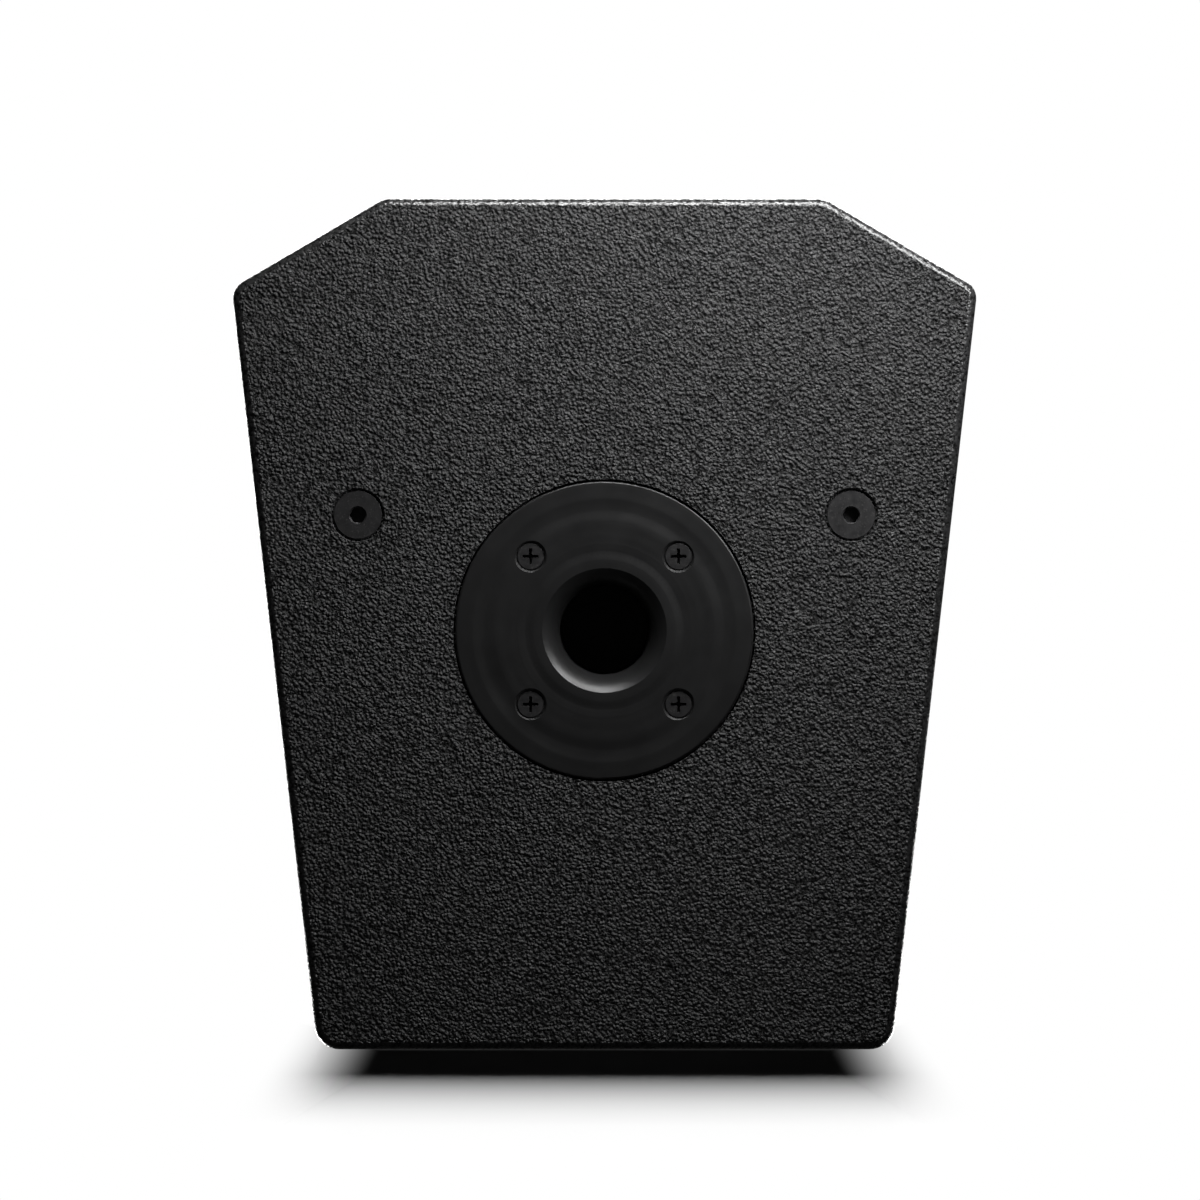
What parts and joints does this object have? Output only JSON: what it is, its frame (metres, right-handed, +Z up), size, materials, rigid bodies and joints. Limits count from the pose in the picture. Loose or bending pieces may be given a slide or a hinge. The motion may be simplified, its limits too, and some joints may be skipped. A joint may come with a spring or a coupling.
{
  "type": "pa speaker cabinet",
  "caption": "Two-way PA loudspeaker cabinet: black plywood box of trapezoidal plan with steel grille, woofer, horn, side handles, input dish, rigging points and a pole socket underneath.",
  "frame": {"origin": "centre of the cabinet's footprint on the face that it stands on", "axes": "+Z up, -Y out of the grille, +X to the right of someone facing the grille"},
  "size_m": [0.299, 0.342, 0.5],
  "materials": {
    "painted_ply": "black structured coating over birch plywood",
    "birch_ply": "bare birch plywood",
    "pine": "planed softwood",
    "grille_steel": "black powder coat on perforated steel",
    "black_screw": "black oxide steel",
    "zinc_steel": "bright zinc-plated steel",
    "black_abs": "satin black moulded plastic",
    "horn_abs": "fine matt black moulded plastic",
    "basket": "black-coated cast aluminium",
    "paper_cone": "pressed black paper",
    "cloth_surround": "doped cloth",
    "spider_cloth": "amber phenolic-dipped cloth",
    "coil": "glass-fibre former with copper winding",
    "ferrite": "grey-black ferrite",
    "motor_steel": "zinc-passivated steel",
    "titanium": "formed titanium foil",
    "gasket_foam": "black foam",
    "rubber": "moulded black rubber",
    "board": "green glass-epoxy board",
    "copper": "enamelled copper wire",
    "capacitor": "yellow film capacitor",
    "resistor": "white cement resistor",
    "brass": "tin-plated brass tabs",
    "socket_plastic": "glass-filled nylon",
    "wadding": "white polyester wadding",
    "wire": "two-core cable in a soft sheath"
  },
  "bodies": {
    "cabinet": {"bottom_panel": "painted_ply", "top_panel": "painted_ply", "left_side_panel": "painted_ply", "right_side_panel": "painted_ply", "rear_panel": "painted_ply", "front_baffle": "painted_ply", "baffle_battens": "pine", "grille": "grille_steel", "grille_screws": "black_screw", "grille_spacers": "rubber", "rigging_screws": "black_screw", "rigging_plates": "zinc_steel", "tee_nuts": "zinc_steel", "pole_socket": "black_abs", "pole_socket_screws": "black_screw", "woofer_frame": "basket", "woofer_gasket": "gasket_foam", "woofer_surround": "cloth_surround", "woofer_spider": "spider_cloth", "woofer_top_plate": "motor_steel", "woofer_magnet": "ferrite", "woofer_pole_piece": "motor_steel", "woofer_terminals": "board", "woofer_screws": "black_screw", "horn": "horn_abs", "horn_seal": "gasket_foam", "horn_screws": "black_screw", "hf_pole_plate": "motor_steel", "hf_phase_plug": "black_abs", "hf_magnet": "ferrite", "hf_top_plate": "motor_steel", "hf_mount_ring": "black_abs", "hf_rear_cover": "black_abs", "hf_driver_screws": "zinc_steel", "port_tubes": "black_abs", "crossover_board": "board", "crossover_standoffs": "black_abs", "crossover_screws": "zinc_steel", "crossover_coils": "copper", "crossover_capacitors": "capacitor", "crossover_resistors": "resistor", "input_dish": "black_abs", "input_dish_screws": "black_screw", "input_socket": "socket_plastic", "link_socket": "socket_plastic", "socket_screws": "zinc_steel", "socket_tabs": "brass", "handle_dish_left": "black_abs", "handle_dish_right": "black_abs", "handle_bars": "zinc_steel", "handle_grips": "rubber", "handle_screws": "black_screw", "wadding": "wadding", "input_wires": "wire", "lf_wires": "wire", "hf_wires": "wire"},
    "woofer_piston": {"woofer_cone": "paper_cone", "woofer_dust_cap": "paper_cone", "woofer_voice_coil": "coil"},
    "hf_piston": {"hf_diaphragm": "titanium"}
  },
  "joints": [
    {"name": "woofer_excursion", "type": "slide", "parent": "cabinet", "child": "woofer_piston", "axis": [0, -1, 0], "range_m": [-0.005, 0.005], "stiffness_N_per_m": 4000, "deforming": ["woofer_surround", "woofer_spider"]},
    {"name": "hf_excursion", "type": "slide", "parent": "cabinet", "child": "hf_piston", "axis": [0, -1, 0], "range_m": [-0.0003, 0.0003], "stiffness_N_per_m": 10000}
  ]
}
